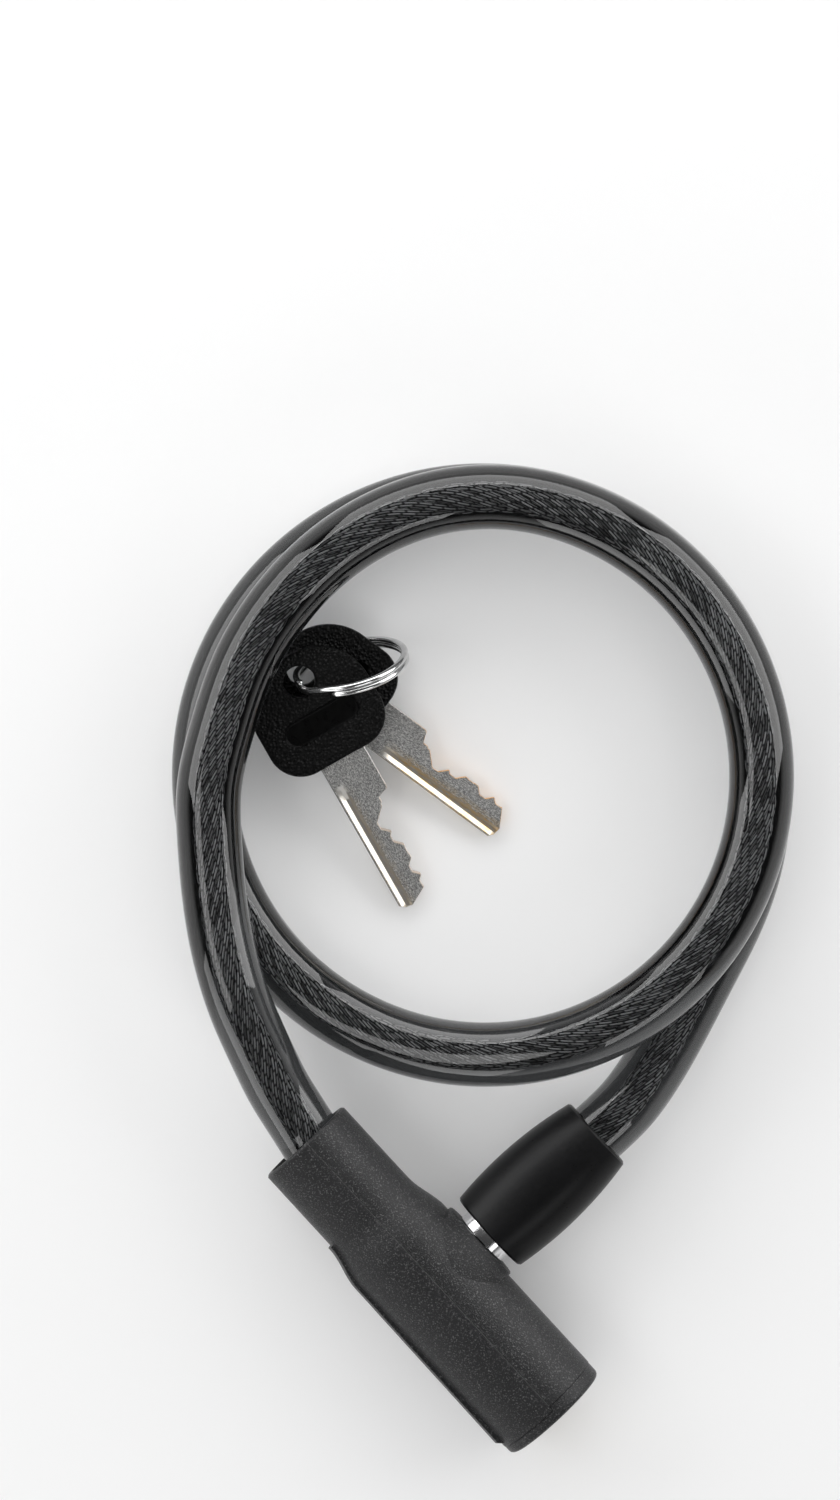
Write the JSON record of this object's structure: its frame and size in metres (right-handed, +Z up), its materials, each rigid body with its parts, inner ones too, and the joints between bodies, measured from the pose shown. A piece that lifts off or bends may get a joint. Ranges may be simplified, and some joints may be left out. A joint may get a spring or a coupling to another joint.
{
  "type": "cable lock",
  "caption": "Coiled steel cable in a clear sleeve whose ends meet in a key-operated lock barrel and a plug-in bolt head, with its keys on a split ring.",
  "frame": {"origin": "centre of the cable's loop, on the surface that the lock lies on", "axes": "+Z up out of the loop, +Y away from the lock barrel's side of the loop, +X to the right as seen from above"},
  "size_m": [0.1159, 0.1841, 0.0246],
  "materials": {
    "cover_plastic": "finely grained dark grey moulding",
    "head_plastic": "satin black moulding",
    "bow_plastic": "coarsely grained black moulding",
    "clear_pvc": "smooth smoky clear sleeve",
    "cable_steel": "dark twisted strands",
    "die_cast_zinc": "as cast",
    "steel": "turned",
    "bolt_steel": "bright plated",
    "spring_steel": "drawn wire",
    "brass": "machined",
    "ring_steel": "bright plated",
    "key_nickel": "nickel plated, lightly scratched"
  },
  "bodies": {
    "lock_body": {"cover_left": "cover_plastic", "cover_right": "cover_plastic", "end_collar": "cover_plastic", "lock_housing": "die_cast_zinc", "cable_anchor": "steel", "anchor_pin": "steel", "plug_retaining_pin": "steel", "cable_sleeve": "clear_pvc", "cable_core": "cable_steel"},
    "head": {"head_cover": "head_plastic", "locking_bolt": "bolt_steel", "crimp_sleeve": "steel"},
    "plug": {"plug": "brass", "wafers": "brass", "wafer_springs": "spring_steel"},
    "slider": {"locking_slider": "die_cast_zinc"},
    "key_ring": {"split_ring": "ring_steel"},
    "key_1": {"key_blade_1": "key_nickel", "key_bow_1": "bow_plastic"},
    "key_2": {"key_blade_2": "key_nickel", "key_bow_2": "bow_plastic"}
  },
  "joints": [
    {"name": "head_slide", "type": "slide", "parent": "lock_body", "child": "head", "axis": [0.7361, 0.6769, 0], "range_m": [0, 0.018], "deforming": ["cable_sleeve", "cable_core"]},
    {"name": "plug_turn", "type": "hinge", "parent": "lock_body", "child": "plug", "pos_m": [-0.00166, -0.10186, 0.01105], "axis": [0.6769, -0.7361, 0], "range_deg": [0, 90]},
    {"name": "slider_slide", "type": "slide", "parent": "lock_body", "child": "slider", "axis": [0, 0, 1], "range_m": [0, 0.00283]},
    {"name": "key_ring_lift", "type": "slide", "parent": "lock_body", "child": "key_ring", "axis": [0.7504, -0.2293, 0.62], "range_m": [0, 0.036]},
    {"name": "key_1_swing", "type": "hinge", "parent": "key_ring", "child": "key_1", "pos_m": [-0.0339, 0.0177, 0.0115], "axis": [0.1041, -0.1839, 0.9774], "range_deg": [-4, 6]},
    {"name": "key_2_swing", "type": "hinge", "parent": "key_ring", "child": "key_2", "pos_m": [-0.0334, 0.0201, 0.0064], "axis": [0.0868, -0.0642, 0.9942], "range_deg": [-8, 3]}
  ],
  "couplings": [
    {"joint": "slider_slide", "follows": "plug_turn", "m_per_rad": 0.0018}
  ]
}
